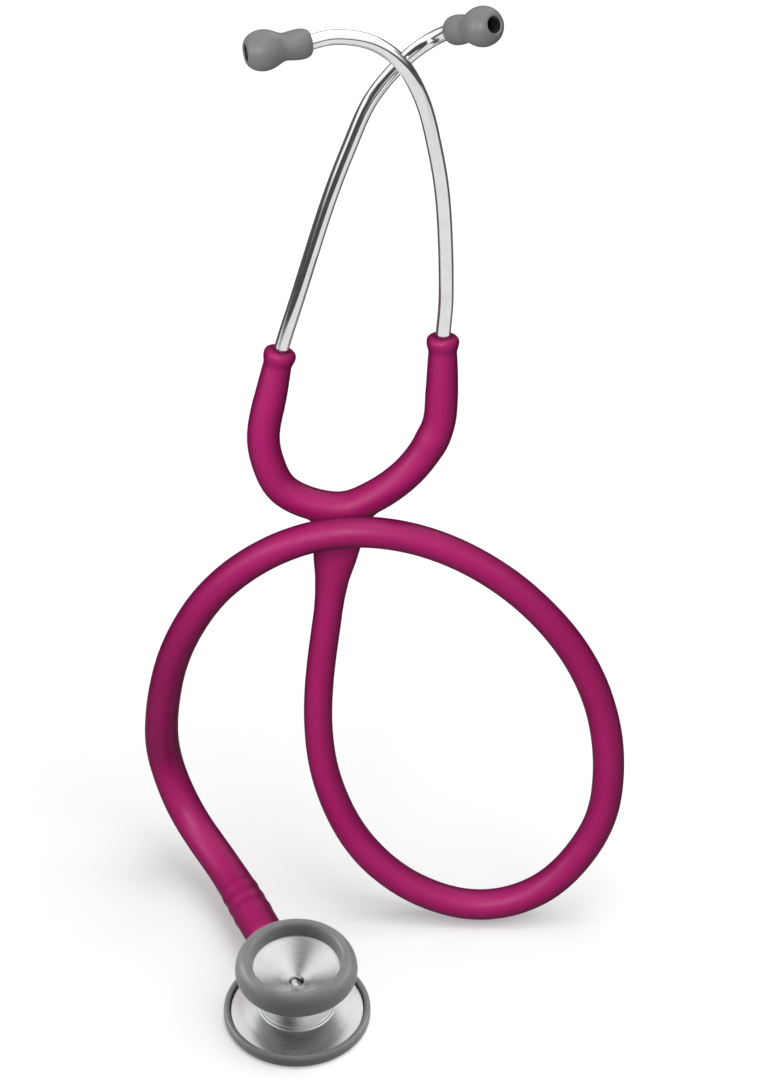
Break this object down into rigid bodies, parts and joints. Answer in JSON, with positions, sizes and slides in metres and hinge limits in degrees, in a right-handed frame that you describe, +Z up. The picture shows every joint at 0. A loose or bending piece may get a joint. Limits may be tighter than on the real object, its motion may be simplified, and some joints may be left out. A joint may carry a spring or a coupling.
{
  "type": "stethoscope",
  "caption": "Acoustic stethoscope: one-piece Y tubing in a loop, crossed steel ear tubes with soft tips, and a double-sided chestpiece that turns on its stem.",
  "frame": {"origin": "centre of the diaphragm's outer face, which lies flat on the table", "axes": "+Z up and out of the bell, along the chestpiece's axis; +X to the right and +Y away from the front; the loop and headset stand behind the chestpiece"},
  "size_m": [0.1457, 0.1448, 0.285],
  "materials": {
    "tubing": "smooth satin PVC, raspberry",
    "polished_steel": "polished",
    "spring_steel": "plain spring steel",
    "turned_metal": "fine turned, satin",
    "rim": "matte grey",
    "eartip": "soft matte grey",
    "core_plastic": "matte",
    "diaphragm_sheet": "satin sheet",
    "seal": "black seal"
  },
  "bodies": {
    "yoke": {"tubing_yoke": "tubing", "yoke_leaf_spring": "spring_steel"},
    "left_ear": {"tubing_left_arm": "tubing", "left_spring_clip": "spring_steel", "left_eartube": "polished_steel", "left_eartip": "eartip", "left_eartip_core": "core_plastic"},
    "right_ear": {"tubing_right_arm": "tubing", "right_spring_clip": "spring_steel", "right_eartube": "polished_steel", "right_eartip": "eartip", "right_eartip_core": "core_plastic"},
    "lower_run": {"tubing_lower_run": "tubing"},
    "upper_run": {"tubing_upper_run": "tubing"},
    "end_run": {"tubing_end_run": "tubing", "stem": "turned_metal", "stem_o_ring": "seal"},
    "chestpiece": {"chestpiece_body": "turned_metal", "bell_rim": "rim", "diaphragm": "diaphragm_sheet", "diaphragm_rim": "rim", "stem_retaining_ring": "spring_steel", "detent_spring": "spring_steel", "detent_plug": "spring_steel"},
    "detent": {"detent_ball": "spring_steel"}
  },
  "joints": [
    {"name": "left_eartube_spread", "type": "hinge", "parent": "yoke", "child": "left_ear", "pos_m": [-0.008, 0.07937, 0.14998], "axis": [0, -0.9659, 0.2588], "range_deg": [-4, 45], "stiffness_Nm_per_rad": 0.02, "deforming": ["yoke_leaf_spring"]},
    {"name": "right_eartube_spread", "type": "hinge", "parent": "yoke", "child": "right_ear", "pos_m": [0.0384, 0.08036, 0.15365], "axis": [0, 0.9659, -0.2588], "range_deg": [-4, 45], "deforming": ["yoke_leaf_spring"]},
    {"name": "tubing_neck_flex", "type": "hinge", "parent": "yoke", "child": "lower_run", "pos_m": [0.00663, 0.06062, 0.07944], "axis": [0, -0.9659, 0.2588], "range_deg": [-20, 20], "stiffness_Nm_per_rad": 0.02},
    {"name": "tubing_side_flex", "type": "hinge", "parent": "lower_run", "child": "upper_run", "pos_m": [0.09322, 0.04796, 0.04197], "axis": [0, 0.9659, -0.2588], "range_deg": [-20, 6], "stiffness_Nm_per_rad": 0.02},
    {"name": "tubing_end_flex", "type": "hinge", "parent": "upper_run", "child": "end_run", "pos_m": [-0.0404, 0.06763, 0.0684], "axis": [0, -0.9659, 0.2588], "range_deg": [-20, 20], "stiffness_Nm_per_rad": 0.02},
    {"name": "chestpiece_turn", "type": "hinge", "parent": "end_run", "child": "chestpiece", "pos_m": [0, 0, 0.0112], "axis": [-0.41, 0.9121, 0], "continuous": true},
    {"name": "detent_ball_travel", "type": "slide", "parent": "chestpiece", "child": "detent", "axis": [-0.9121, -0.41, 0], "range_m": [0, 0.00025]}
  ],
  "couplings": [
    {"joint": "right_eartube_spread", "follows": "left_eartube_spread", "ratio": 1}
  ]
}
